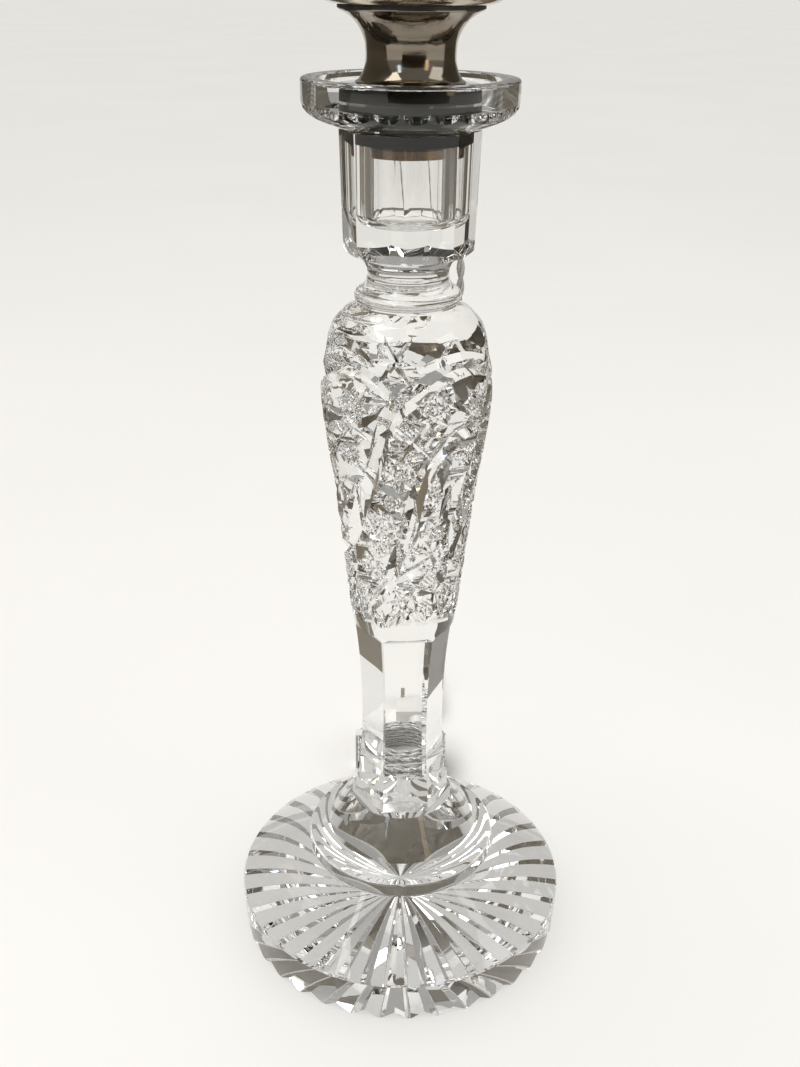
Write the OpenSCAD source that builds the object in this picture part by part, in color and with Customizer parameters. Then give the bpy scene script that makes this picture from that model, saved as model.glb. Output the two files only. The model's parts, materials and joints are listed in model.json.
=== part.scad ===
// Cut-glass candlestick fitted as an electric lamp.
// Four glass sections joined hot: foot, stem, body and candle cup. A plated fitting with a rubber bung
// stands in the candle cup and carries a pan, a lampholder and a cord. Millimetres, +Z up, the origin on
// the table under the middle of the foot, the front towards -Y and the cord at the back.

/* [Foot] */
// Width of the foot across its upper edge
foot_d = 101.4; // [92:0.1:112]
// Width of the foot across its lower edge
foot_base_d = 100; // [90:0.1:110]
// Height of the foot's upper edge above the table
foot_edge_h = 13.6; // [10:0.1:17]
// Width of the collar where the dome stands on the sloping disc
collar_d = 57.8; // [50:0.1:64]
// Height at which the collar meets the sloping disc
collar_z = 27; // [23:0.1:29]
// Height of the collar's upright band
collar_band_h = 4.4; // [2:0.1:6]
// Height of the whole foot, up to the bottom of the stem
foot_h = 46; // [42:0.5:54]
// Number of rays cut in the underside
ray_count = 36; // [24:1:40]
// Depth of a ray at the edge of the foot
ray_depth = 2.8; // [1.5:0.1:4]
// Share of the underside between two rays that stays flat
ray_land = 0.08; // [0.05:0.01:0.3]
// Width of the flat in the middle of the star
star_flat_d = 5; // [3:0.5:12]

/* [Stem] */
// Height of the six-sided stem
stem_h = 60; // [45:1:80]
// Width across the corners at the narrowest point of the stem
stem_waist_d = 24.3; // [20:0.1:27]
// Width across the corners at the ends of the stem
stem_end_d = 28; // [25:0.1:30]
// Height of the straight plinth at the foot of the stem
stem_plinth_h = 4.9; // [2:0.1:8]
// Angle that the stem's flats are turned from the front
stem_turn = 6; // [-30:1:30]

/* [Body] */
// Height of the swirl-cut body
body_h = 93; // [80:1:110]
// Width of the body where it leaves the stem
body_foot_d = 30.4; // [28.5:0.1:34]
// Greatest width of the body
body_d = 45.4; // [42:0.1:50]
// Width of the plain shoulder above the swirls
shoulder_d = 41.4; // [38:0.1:44]
// Width of the body's top, under the bead
body_top_d = 28; // [27:0.1:34]
// Number of swirl panels
swirl_count = 6; // [4:1:8]
// Depth of the smooth flute that runs beside each swirl ridge
swirl_depth = 1.8; // [0.5:0.1:2.5]
// Turn of a swirl for each millimetre of height
swirl_pitch = 1.39; // [0.8:0.01:1.8]
// Extra turn that a swirl makes at its top
swirl_hook = 40; // [10:1:60]
// Angle that the swirls are turned about the body
swirl_turn = -79; // [-90:1:-30]

/* [Candle cup] */
// Width of the bead above the body
bead_d = 27.4; // [25:0.1:30]
// Height of the bead
bead_h = 5; // [4:0.1:7]
// Width of the neck between bead and cup
cup_waist_d = 20.9; // [18:0.1:24]
// Height of the neck between bead and cup
cup_waist_h = 9.4; // [8:0.1:12]
// Width of the eight-sided cup across its corners
cup_d = 34; // [32:0.1:38]
// Height of the eight-sided cup under the flange
cup_h = 29.6; // [26:0.1:36]
// Angle that the cup's corners are turned from the front
cup_turn = -4; // [-22:1:22]
// Width of the candle hole
candle_d = 22; // [20:0.1:23]
// Depth of the candle hole
candle_depth = 34; // [30:0.5:38]
// Width of the flange that catches the wax
flange_d = 52.7; // [46:0.1:58]
// Height of the flange's upright edge
flange_band_h = 5.8; // [4:0.1:7]
// Height of the sloping underside of the flange
flange_slope_h = 5.2; // [4:0.1:7]
// Width of the shallow recess in the top of the flange
recess_d = 43.6; // [36:0.1:45]
// Depth of that recess
recess_depth = 1.5; // [0.5:0.1:2.5]
// Number of scallops under the flange
scallop_count = 24; // [18:1:28]

/* [Plated fitting] */
// Height of the rubber bung in the candle hole
bung_h = 13.9; // [9:0.1:16]
// Gap between the bung and the glass, all round
bung_gap = 0.2; // [0.1:0.05:0.5]
// Thickness of the brass plate under the bung
clamp_t = 2; // [1.5:0.1:3]
// Width of the threaded tube that holds the fitting together
tube_d = 9.8; // [8:0.1:11]
// Width of the hole through that tube
tube_bore_d = 7; // [5:0.1:7.5]
// Height of the spun neck
neck_h = 16.5; // [14:0.1:24]
// Width of the neck's foot
neck_foot_d = 26.4; // [24:0.1:30]
// Width of the neck at its throat
neck_throat_d = 21.4; // [19:0.1:23]
// Width of the neck at its top
neck_top_d = 34.4; // [30:0.1:38]
// Wall of the spun parts
spun_t = 0.9; // [0.7:0.1:1.4]
// Thickness of the rubber ring between neck and pan
gasket_t = 0.7; // [0.5:0.1:1.5]
// Width of the pan across its rim
pan_d = 54; // [48:0.5:64]
// Height of the pan
pan_h = 9.5; // [7:0.1:14]

/* [Lampholder] */
// Width of the lampholder's shell
holder_d = 35; // [34:0.1:38]
// Height of the lampholder's shell
holder_h = 36; // [34:0.5:44]
// Height of the cap under the shell
cap_h = 13; // [11:0.1:18]
// Inside width of the screw shell that takes the lamp
lamp_thread_d = 26.6; // [26:0.1:27.2]
// Length of the screw shell
lamp_thread_h = 22; // [18:0.5:23]
// Width of the turn key's wing
key_w = 9; // [7:0.5:12]

/* [Cord] */
// Width of the cord
cord_d = 2.4; // [2:0.1:2.6]
// Turns of the stored coil, side by side
coil_across = 3; // [3:1:4]
// Turns of the stored coil, one on another
coil_up = 6; // [4:1:6]
// Width of the coil at the middle of its turns
coil_mid_d = 26.4; // [24:0.1:28]
// Width of the plug
plug_w = 17; // [15:0.5:19]
// Thickness of the plug
plug_t = 10; // [9:0.5:12]
// Length of the plug's body
plug_l = 24; // [20:0.5:30]

/* [Hidden] */
$fn = 64;

// A cut starts this far outside the face that it opens.
over = 1;
// Running gap round a part that turns or slides.
gap = 0.25;

// Heights, stacked from the table.
stem_z = foot_h;
body_z = stem_z + stem_h;
bead_z = body_z + body_h;
waist_z = bead_z + bead_h;
cup_z = waist_z + cup_waist_h;
slope_z = cup_z + cup_h;
band_z = slope_z + flange_slope_h;
glass_top = band_z + flange_band_h;
floor_z = glass_top - recess_depth;
bung_z = floor_z - bung_h;
clamp_z = bung_z - clamp_t;
neck_top = floor_z + neck_h;
pan_z = neck_top + gasket_t;
washer_t = 1.2;
nut_h = 3.6;
cap_z = pan_z + spun_t + washer_t + nut_h;
hub_d = tube_d + 5;
hub_h = 8;
stub_h = 4;
insert_z = cap_z + hub_h;
tube_top = insert_z - 2;
cap_top = cap_z + cap_h;
holder_z = cap_top - 2;
holder_top = holder_z + holder_h;

// Sleeve in the side of the neck, where the cord comes out.
bushing_d = 4.6;
bushing_z = floor_z + 5;
bushing_tip_y = 19;

// Screw in the hub of the lampholder's cap.
set_screw_d = 2.4;
set_screw_z = cap_z + stub_h / 2;
set_screw_head_d = stub_h - 0.4;

// Lampholder fits.
liner_t = 0.5;
shell_t = 0.6;
liner_d = holder_d - 2 * shell_t;
screw_t = 0.4;
insert_d = lamp_thread_d + 2;
key_shaft_d = 3;
key_z = cap_top + key_shaft_d / 2 + 1.2;
contact_pit_h = 3.2;
thread_z = key_z + key_shaft_d / 2 + 1.2 + contact_pit_h;
insert_h = thread_z - insert_z;
terminal_z = insert_z + 7;
key_stem_x = insert_d / 2 - 4;
key_wing_x = holder_d / 2 + 4;

// Rows of points that follow a rule.
function smooth(t) = t * t * (3 - 2 * t);
function mix(a, b, t) = a + (b - a) * t;
function arc(cx, cz, r, from, to, steps) =
    [for (i = [0:steps]) let (a = mix(from, to, i / steps)) [cx + r * cos(a), cz + r * sin(a)]];
function mirrored(points) = [for (i = [len(points) - 1:-1:0]) [-points[i][0], points[i][1]]];

module turned(points) {
    rotate_extrude() polygon(points);
}

module tube_ring(outer_d, inner_d, h) {
    difference() {
        cylinder(d = outer_d, h = h);
        translate([0, 0, -over]) cylinder(d = inner_d, h = h + 2 * over);
    }
}

// ---- Glass ----

module foot_blank() {
    dome_step_d = collar_d - 3.2;
    turned([
        [0, 0], [foot_base_d / 2, 0], [foot_d / 2, foot_edge_h],
        [collar_d / 2, collar_z], [collar_d / 2 - 0.6, collar_z + collar_band_h - 0.6],
        [dome_step_d / 2, collar_z + collar_band_h],
        [mix(dome_step_d, stem_end_d, 0.66) / 2, mix(collar_z + collar_band_h, foot_h, 0.2)],
        [mix(dome_step_d, stem_end_d, 0.84) / 2, mix(collar_z + collar_band_h, foot_h, 0.46)],
        [stem_end_d / 2 + 0.4, foot_h - 1.5], [stem_end_d / 2 - 0.6, foot_h], [0, foot_h]
    ]);
}

// One ray: a three-sided bar whose top edge climbs from the middle of the star to the rim.
module ray_cutter() {
    root_r = star_flat_d / 2;
    reach = foot_d / 2 - root_r + over;
    rise = atan(ray_depth / (foot_base_d / 2 - root_r));
    half_w = PI * foot_base_d / ray_count * (1 - ray_land) / 2;
    drop = 2;
    spread = half_w * (1 + drop / ray_depth);
    translate([root_r, 0, 0]) rotate([0, -rise, 0]) rotate([90, 0, 90])
        linear_extrude(height = reach / cos(rise) + over)
            polygon([[0, 0], [-spread, -ray_depth - drop], [spread, -ray_depth - drop]]);
}

module glass_foot() {
    color("aliceblue", 0.5) difference() {
        foot_blank();
        for (i = [0:ray_count - 1]) rotate([0, 0, (i + 0.5) * 360 / ray_count]) ray_cutter();
    }
}

// Half-width of the stem between two opposite flats, at each height.
function stem_outline() = let (
    end_x = stem_end_d / 2 * cos(30), waist_x = stem_waist_d / 2 * cos(30),
    low = stem_z + stem_plinth_h, high = stem_z + stem_h, mid = mix(low, high, 0.45), steps = 8
) concat(
    [[end_x, stem_z], [end_x, low]],
    [for (i = [1:steps]) let (t = i / steps) [mix(end_x - 0.6, waist_x, smooth(t)), mix(low, mid, t)]],
    [for (i = [1:steps]) let (t = i / steps) [mix(waist_x, end_x, t * t), mix(mid, high, t)]]
);

module stem_slab() {
    side = stem_outline();
    rotate([90, 0, 0]) linear_extrude(height = 2 * stem_end_d, center = true)
        polygon(concat(side, mirrored(side)));
}

module glass_stem() {
    color("aliceblue", 0.5) rotate([0, 0, stem_turn]) intersection() {
        rotate([0, 0, 30]) stem_slab();
        rotate([0, 0, 90]) stem_slab();
        rotate([0, 0, 150]) stem_slab();
    }
}

// Plain width of the body before its flutes are cut, at a share t of its height.
function body_radius(t) =
    t < 0.82 ? mix(body_foot_d, body_d, sin(90 * min(t / 0.8, 1)) * 0.35 + 0.65 * t / 0.82) / 2 :
    t < 0.86 ? mix(body_d, shoulder_d, (t - 0.82) / 0.04) / 2 :
    mix(shoulder_d, body_top_d, 1 - sqrt(1 - pow((t - 0.86) / 0.14, 2))) / 2;

// Direction in which swirl 0 stands at a height above the table.
function swirl_angle(z) = let (top = body_z + 0.84 * body_h)
    swirl_turn + swirl_pitch * (z - top) + swirl_hook * exp((z - top) / 5.1);

// Depth of the flute at a share s of the way from one ridge to the next.
function flute(s) = s < 0.34 ? sin(180 * pow(s / 0.34, 0.6)) : 0;

module glass_body() {
    around = 84;
    levels = [for (i = [0:25]) i < 20 ? 0.82 * i / 19 : mix(0.86, 1, (i - 20) / 5)];
    rows = len(levels);
    points = [for (t = levels) let (z = body_z + t * body_h, turn = swirl_angle(z), r = body_radius(t),
            cut = swirl_depth * smooth(min(1, t / 0.08)) * smooth(min(1, max(0, (0.95 - t) / 0.1))))
        for (i = [0:around - 1]) let (a = i * 360 / around,
            s = ((a - turn) * swirl_count / 360) - floor((a - turn) * swirl_count / 360),
            d = r - cut * flute(s))
            [d * cos(a), d * sin(a), z]];
    sides = [for (k = [0:rows - 2]) for (i = [0:around - 1]) let (n = (i + 1) % around)
        each [[k * around + i, (k + 1) * around + n, k * around + n],
              [k * around + i, (k + 1) * around + i, (k + 1) * around + n]]];
    bottom = [for (i = [0:around - 1]) i];
    top = [for (i = [around - 1:-1:0]) (rows - 1) * around + i];
    color("aliceblue", 0.5) polyhedron(points, concat(sides, [bottom, top]), convexity = 6);
}

module cup_blank() {
    foot_r = cup_waist_d / 2 + 2.6;
    // Bead and neck
    turned(concat(
        [[0, bead_z], [body_top_d / 2 - 0.6, bead_z]],
        arc(bead_d / 2 - bead_h / 2, bead_z + bead_h / 2, bead_h / 2, -60, 80, 10),
        [[cup_waist_d / 2 + 0.5, waist_z + 0.8], [cup_waist_d / 2, waist_z + 3],
         [cup_waist_d / 2 + 0.4, waist_z + 5], [foot_r, cup_z - 0.6], [foot_r + 1, cup_z + 0.6],
         [foot_r + 1, cup_z + over], [0, cup_z + over]]
    ));
    // Eight-sided cup with its lower edge rounded
    intersection() {
        translate([0, 0, cup_z]) rotate([0, 0, cup_turn - 90])
            cylinder(d = cup_d, h = cup_h + over, $fn = 8);
        turned(concat(
            [[0, cup_z - over], [cup_d / 2 - 4.2, cup_z - over]],
            arc(cup_d / 2 - 4, cup_z + 4, 4, -90, 0, 8),
            [[cup_d / 2, slope_z + over], [0, slope_z + over]]
        ));
    }
    // Flange
    turned([
        [0, slope_z], [cup_d / 2 + 0.7, slope_z], [cup_d / 2 + 3.5, slope_z + 1.6],
        [flange_d / 2 - 1.4, slope_z + 3.7], [flange_d / 2 - 0.3, band_z],
        [flange_d / 2, band_z + 0.6], [flange_d / 2, glass_top - 0.4],
        [flange_d / 2 - 0.4, glass_top], [0, glass_top]
    ]);
}

module glass_cup() {
    candle_z = glass_top - candle_depth;
    corner_r = 3;
    color("aliceblue", 0.5) difference() {
        cup_blank();
        turned(concat(
            [[0, candle_z], [candle_d / 2 - corner_r, candle_z]],
            arc(candle_d / 2 - corner_r, candle_z + corner_r, corner_r, -90, 0, 6),
            [[candle_d / 2, glass_top + over], [0, glass_top + over]]
        ));
        translate([0, 0, floor_z]) cylinder(d1 = recess_d - 2, d2 = recess_d + 1, h = recess_depth + over);
        for (i = [0:scallop_count - 1]) rotate([0, 0, (i + 0.25) * 360 / scallop_count])
            translate([flange_d / 2 + 0.4, 0, slope_z + 1]) sphere(r = 3.6);
    }
}

// ---- Plated fitting ----

module rubber_bung() {
    color("darkolivegreen") translate([0, 0, bung_z])
        tube_ring(candle_d - 2 * bung_gap, tube_d, bung_h);
}

module clamp_plate() {
    color("saddlebrown") translate([0, 0, clamp_z])
        tube_ring(candle_d - 2 * bung_gap - 0.6, tube_d, clamp_t);
}

module threaded_tube() {
    color("goldenrod") translate([0, 0, clamp_z]) tube_ring(tube_d, tube_bore_d, tube_top - clamp_z);
}

// Outside of the spun neck from its foot to its top, drawn in by inset to make the inside.
function neck_side(inset) = let (steps = 10, throat = 0.34 * neck_h) concat(
    [for (i = [0:4]) let (t = i / 4)
        [mix(neck_foot_d, neck_throat_d, sin(90 * t)) / 2 - inset, floor_z + throat * t * t]],
    [for (i = [1:steps]) let (t = i / steps)
        [mix(neck_throat_d, neck_top_d, pow(t, 2.6)) / 2 - inset, floor_z + throat + (neck_h - throat) * t]]
);

module neck() {
    inner = neck_side(spun_t);
    roof = neck_top - spun_t;
    color("silver") difference() {
        turned(concat([[0, floor_z]], neck_side(0), [[0, neck_top]]));
        turned(concat(
            [[0, floor_z - over], [inner[0][0], floor_z - over]],
            [for (p = inner) if (p[1] < roof - 0.3) p],
            [[neck_top_d / 2 - 3, roof], [0, roof]]
        ));
        translate([0, 0, floor_z]) cylinder(d = tube_d, h = neck_h + over);
        translate([0, 0, bushing_z]) rotate([-90, 0, 0]) cylinder(d = bushing_d, h = neck_foot_d);
    }
}

module neck_gasket() {
    color("black") translate([0, 0, neck_top]) tube_ring(neck_top_d + 0.3, tube_d, gasket_t);
}

// Rubber sleeve where the cord leaves the neck.
module cord_bushing() {
    throat_r = neck_throat_d / 2;
    color("dimgray") translate([0, 0, bushing_z]) rotate([-90, 0, 0]) {
        translate([0, 0, throat_r - 2]) cylinder(d = bushing_d, h = 4);
        translate([0, 0, throat_r])
            cylinder(d1 = bushing_d + 1.6, d2 = cord_d + 1, h = bushing_tip_y - throat_r);
    }
}

// Two leads inside the threaded tube, up to the lampholder's terminals.
module lead_wires() {
    color("ivory") for (side = [-1, 1]) translate([side * 1.6, 0, bushing_z])
        cylinder(d = 1.8, h = insert_z - bushing_z);
}

// Shallow spun pan: a flat middle and a side that curves out to a rolled rim.
module pan() {
    flat_r = neck_top_d / 2 - 0.6;
    side = [for (i = [0:8]) let (t = i / 8) [mix(flat_r, pan_d / 2 - 0.6, sin(90 * t)),
        pan_z + (pan_h - 1.2) * (1 - cos(90 * t))]];
    color("silver") difference() {
        union() {
            turned(concat([[0, pan_z]], side, [[0, pan_z + pan_h - 1.2]]));
            translate([0, 0, pan_z + pan_h - 1.2]) rotate_extrude()
                translate([pan_d / 2 - 0.8, 0]) circle(r = 1.2);
        }
        turned(concat([[0, pan_z + spun_t]],
            [for (p = side) if (p[0] > flat_r + 0.1) [p[0] - spun_t, p[1] + spun_t * 0.6]],
            [[pan_d / 2 - 0.6 - spun_t, pan_z + pan_h + over], [0, pan_z + pan_h + over]]
        ));
        translate([0, 0, pan_z - over]) cylinder(d = tube_d, h = 3 * over);
    }
}

module pan_washer() {
    color("silver") translate([0, 0, pan_z + spun_t]) tube_ring(20, tube_d, washer_t);
}

module locknut() {
    color("goldenrod") translate([0, 0, pan_z + spun_t + washer_t]) difference() {
        cylinder(d = 17, h = nut_h, $fn = 6);
        translate([0, 0, -over]) cylinder(d = tube_d, h = nut_h + 2 * over);
    }
}

// ---- Lampholder ----

module holder_cap() {
    inner_r = holder_d / 2 + 0.1;
    wall_r = inner_r + shell_t;
    round_r = cap_h - stub_h - 2;
    dish_z = cap_z + stub_h;
    color("silver") difference() {
        turned(concat([[0, cap_z], [hub_d / 2, cap_z], [hub_d / 2, dish_z]],
            arc(wall_r - round_r, dish_z + round_r, round_r, -90, 0, 8), [[wall_r, cap_top], [0, cap_top]]));
        turned(concat([[0, insert_z], [hub_d / 2, insert_z], [hub_d / 2, dish_z + spun_t]],
            arc(wall_r - round_r, dish_z + round_r, round_r - spun_t, -90, -8, 8),
            [[inner_r, holder_z], [inner_r, cap_top + over], [0, cap_top + over]]));
        translate([0, 0, cap_z - over]) cylinder(d = tube_d, h = cap_h);
        translate([0, 0, set_screw_z]) rotate([90, 0, 0]) cylinder(d = set_screw_d, h = holder_d);
    }
}

// Screw that locks the cap to the threaded tube.
module cap_set_screw() {
    tip_y = tube_d / 2;
    color("goldenrod") translate([0, -tip_y, set_screw_z]) rotate([90, 0, 0]) difference() {
        union() {
            cylinder(d = set_screw_d, h = hub_d / 2 - tip_y + 1.4);
            translate([0, 0, hub_d / 2 - tip_y + 0.6]) cylinder(d = set_screw_head_d, h = 1.6);
        }
        translate([-3, -0.4, hub_d / 2 - tip_y + 1.6]) cube([6, 0.8, over]);
    }
}

module holder_shell() {
    color("silver") difference() {
        union() {
            translate([0, 0, holder_z]) cylinder(d = holder_d, h = holder_h);
            translate([0, 0, holder_top - 1]) rotate_extrude()
                translate([holder_d / 2 - 0.2, 0]) circle(r = 0.8);
        }
        translate([0, 0, holder_z - over]) cylinder(d = liner_d, h = holder_h + 2 * over);
        translate([0, 0, key_z]) rotate([0, 90, 0]) cylinder(d = key_shaft_d + 2 * gap + 1, h = holder_d);
    }
}

module insulating_liner() {
    color("tan") difference() {
        translate([0, 0, holder_z + 0.5]) tube_ring(liner_d, liner_d - 2 * liner_t, holder_h - 2.5);
        translate([0, 0, key_z]) rotate([0, 90, 0]) cylinder(d = key_shaft_d + 2 * gap + 1, h = holder_d);
    }
}

// Moulded insert that carries the contacts and the switch. The centre contact stands in a pit in its top.
module holder_insert() {
    color("ivory") difference() {
        translate([0, 0, insert_z]) cylinder(d = insert_d, h = insert_h);
        translate([0, 0, thread_z - contact_pit_h]) cylinder(d = lamp_thread_d + screw_t, h = insert_h);
        translate([key_stem_x - gap, 0, key_z]) rotate([0, 90, 0])
            cylinder(d = key_shaft_d + 2 * gap, h = insert_d);
        for (side = [-1, 1]) translate([0, side * insert_d / 2, terminal_z]) rotate([90, 0, 0])
            cylinder(d = 6, h = 3, center = true);
    }
}

module screw_shell() {
    color("gainsboro") translate([0, 0, thread_z])
        tube_ring(lamp_thread_d + 2 * screw_t, lamp_thread_d, lamp_thread_h);
}

module centre_contact() {
    color("goldenrod") translate([0, 0, thread_z - contact_pit_h]) {
        cylinder(d = 12, h = 0.6);
        translate([0, 0, 0.6]) cylinder(d1 = 6, d2 = 3.4, h = contact_pit_h - 1.2);
    }
}

module terminal_screws() {
    color("goldenrod") for (side = [-1, 1])
        translate([0, side * (insert_d / 2 - 1.5), terminal_z]) rotate([-90 * side, 0, 0]) difference() {
            cylinder(d = 5, h = 1.6);
            translate([-3, -0.4, 1]) cube([6, 0.8, over]);
        }
}

// Wing on a shaft: each turn works the switch in the insert.
module turn_key() {
    wing_l = 9;
    wing_t = 3;
    color("black") {
        translate([key_stem_x, 0, key_z]) rotate([0, 90, 0])
            cylinder(d = key_shaft_d, h = key_wing_x - key_stem_x + 1);
        translate([key_wing_x, 0, key_z]) rotate([0, 90, 0]) cylinder(d = 6, h = 2.5);
        translate([key_wing_x + 2.5, -wing_t / 2, key_z - key_w / 2]) cube([wing_l - 2.5, wing_t, key_w]);
    }
}

// ---- Cord ----

// From the bushing, over the back of the flange, down behind the glass and over the foot to the coil.
CORD_ROUTE = [
    [0, 19.2, 257.5], [0.2, 23.5, 257.3], [0.8, 28.3, 254.7], [1.6, 31.2, 249], [2.8, 31.6, 242],
    [5, 31.4, 234], [9, 31, 225], [12.5, 30.6, 215], [14.5, 30.2, 204], [14.5, 30, 192],
    [13.5, 30, 178], [12.5, 30, 160], [12, 30, 140], [11.5, 30, 120], [11, 30.2, 100], [10.5, 31, 80],
    [10, 32.6, 60], [9.6, 35.6, 42], [9.6, 40.5, 28], [10.2, 47, 19.4], [11.6, 53.5, 15.8],
    [13.6, 60.5, 14.2], [15, 66, 13.4], [15.6, 71, 13.2]
];
// From the coil to the plug.
TAIL_ROUTE = [
    [11, 82.5, 1.2], [8.2, 85.6, 1.3], [6.4, 89, 2.2], [5.3, 93, 3.7], [5, 97, 5]
];
coil_y = 71.5;
coil_bundle_w = coil_across * cord_d;
coil_h = coil_up * cord_d;
plug_pos = [5, 97, 5];

function between(p, i, t) = let (n = len(p) - 1,
    a = p[max(i - 1, 0)], b = p[i], c = p[min(i + 1, n)], d = p[min(i + 2, n)])
    (2 * b + (c - a) * t + (2 * a - 5 * b + 4 * c - d) * t * t + (3 * b - a - 3 * c + d) * t * t * t) / 2;
function unit(v) = v / norm(v);

// A tube of eight sides swept along points, with rings squared to the path.
module swept_tube(points, d, parts) {
    sides = 8;
    last = len(points) - 1;
    line = [for (i = [0:last - 1]) for (k = [0:parts - 1]) between(points, i, k / parts), points[last]];
    n = len(line) - 1;
    rings = [for (i = [0:n]) let (
            along = unit(line[min(i + 1, n)] - line[max(i - 1, 0)]),
            across = unit(cross(along, [1, 0, 0])), up = cross(across, along))
        for (k = [0:sides - 1]) let (a = k * 360 / sides)
            line[i] + d / 2 * (cos(a) * across + sin(a) * up)];
    walls = [for (i = [0:n - 1]) for (k = [0:sides - 1]) let (m = (k + 1) % sides)
        each [[i * sides + k, (i + 1) * sides + m, i * sides + m],
              [i * sides + k, (i + 1) * sides + k, (i + 1) * sides + m]]];
    start = [for (k = [0:sides - 1]) k];
    finish = [for (k = [sides - 1:-1:0]) n * sides + k];
    polyhedron(rings, concat(walls, [start, finish]), convexity = 8);
}

module cord() {
    color("lightgray") swept_tube(CORD_ROUTE, cord_d, 2);
}

module cord_coil() {
    color("lightgray") translate([0, coil_y, 0]) rotate_extrude()
        translate([(coil_mid_d - coil_bundle_w) / 2, 0]) square([coil_bundle_w, coil_h]);
}

// Soft wire tie round the bundle of turns, on the side away from the glass.
module coil_tie() {
    tie_t = 0.8;
    tie_w = 4;
    x = -coil_mid_d / 2;
    color("white") translate([x, coil_y - tie_w / 2, 0]) difference() {
        translate([-coil_bundle_w / 2 - tie_t, 0, 0])
            cube([coil_bundle_w + 2 * tie_t, tie_w, coil_h + tie_t]);
        translate([-coil_bundle_w / 2 - 0.05, -over, -over])
            cube([coil_bundle_w + 0.1, tie_w + 2 * over, coil_h + over + 0.05]);
    }
}

module cord_tail() {
    color("lightgray") swept_tube(TAIL_ROUTE, cord_d, 2);
}

module plug_body() {
    color("white") translate(plug_pos) {
        rotate([-90, 0, 0]) cylinder(d1 = 4, d2 = 6, h = 6);
        translate([-plug_w / 2, 6, -plug_t / 2]) cube([plug_w, plug_l - 6, plug_t]);
    }
}

module plug_blades() {
    blade = [1.5, 16, 6.3];
    color("silver") translate(plug_pos) for (side = [-1, 1])
        translate([side * 6.35 - blade[0] / 2, plug_l, -blade[2] / 2]) cube(blade);
}

glass_foot();
glass_stem();
glass_body();
glass_cup();
rubber_bung();
clamp_plate();
threaded_tube();
neck();
neck_gasket();
cord_bushing();
lead_wires();
pan();
pan_washer();
locknut();
holder_cap();
cap_set_screw();
holder_shell();
insulating_liner();
holder_insert();
screw_shell();
centre_contact();
terminal_screws();
turn_key();
cord();
cord_coil();
coil_tie();
cord_tail();
plug_body();
plug_blades();
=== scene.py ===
import json
import math

import bmesh
import bpy
from bpy.props import FloatProperty, FloatVectorProperty, IntProperty, PointerProperty
from bpy.types import Operator, Panel, PropertyGroup
from mathutils import Matrix, Vector

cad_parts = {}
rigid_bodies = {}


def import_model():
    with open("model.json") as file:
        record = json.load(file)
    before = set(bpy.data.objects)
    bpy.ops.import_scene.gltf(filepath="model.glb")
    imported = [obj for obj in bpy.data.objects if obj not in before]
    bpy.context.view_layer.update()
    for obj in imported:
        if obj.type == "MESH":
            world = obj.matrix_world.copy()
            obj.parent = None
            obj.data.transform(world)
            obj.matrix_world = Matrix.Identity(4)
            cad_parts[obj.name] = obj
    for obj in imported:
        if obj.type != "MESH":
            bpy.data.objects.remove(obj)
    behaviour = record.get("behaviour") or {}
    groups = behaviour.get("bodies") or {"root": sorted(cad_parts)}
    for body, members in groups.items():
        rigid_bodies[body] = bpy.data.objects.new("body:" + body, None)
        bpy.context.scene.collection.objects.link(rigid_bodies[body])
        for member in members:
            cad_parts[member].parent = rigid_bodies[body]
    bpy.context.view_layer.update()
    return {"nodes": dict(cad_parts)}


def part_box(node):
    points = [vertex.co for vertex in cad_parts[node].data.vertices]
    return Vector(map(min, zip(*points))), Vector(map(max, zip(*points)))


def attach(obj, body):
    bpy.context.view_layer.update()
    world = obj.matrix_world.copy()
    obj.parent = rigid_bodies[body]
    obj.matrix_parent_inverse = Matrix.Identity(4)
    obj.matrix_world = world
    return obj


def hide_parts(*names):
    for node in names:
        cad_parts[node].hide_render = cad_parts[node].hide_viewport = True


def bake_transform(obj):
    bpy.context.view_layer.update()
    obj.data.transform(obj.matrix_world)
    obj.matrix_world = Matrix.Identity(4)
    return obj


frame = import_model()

bl_info = {
    "name": "Cut-glass candlestick lamp",
    "version": (1, 0, 0),
    "blender": (4, 5, 0),
    "location": "View3D > Sidebar > Candlestick",
    "description": "Builds a cut-glass candlestick lamp round its packed parts",
    "category": "Object",
}

NODES = frame["nodes"]
MM = 0.001

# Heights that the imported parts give, in millimetres.
STEM_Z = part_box("glass_stem")[0].z / MM
BODY_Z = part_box("glass_body")[0].z / MM
GLASS_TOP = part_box("glass_cup")[1].z / MM
FOOT_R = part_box("glass_foot")[1].x / MM
FLANGE_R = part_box("glass_cup")[1].x / MM
RECESS_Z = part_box("neck")[0].z / MM

# Radius of the candle hole, how far the bung squeezes past it, and the bore of what stands on the threaded tube.
HOLE_R = 11
SQUEEZE = 0.04
TUBE_R = 4.9


# ---- Small tools ----

def deselect():
    """Leave edit mode, with nothing selected."""
    if bpy.context.object and bpy.context.object.mode != "OBJECT":
        bpy.ops.object.mode_set(mode="OBJECT")
    bpy.ops.object.select_all(action="DESELECT")


def pick(obj):
    """Make one object the only selected and active one."""
    deselect()
    obj.select_set(True)
    bpy.context.view_layer.objects.active = obj
    return obj


def drop(obj):
    """Remove an object and the mesh that only it used."""
    mesh = obj.data
    bpy.data.objects.remove(obj)
    if mesh.users == 0:
        bpy.data.meshes.remove(mesh)


def mesh_object(name, points, faces, edges=()):
    """A mesh from points in millimetres."""
    mesh = bpy.data.meshes.new(name)
    mesh.from_pydata([Vector(p) * MM for p in points], edges, faces)
    obj = bpy.data.objects.new(name, mesh)
    bpy.context.scene.collection.objects.link(obj)
    return obj


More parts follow.
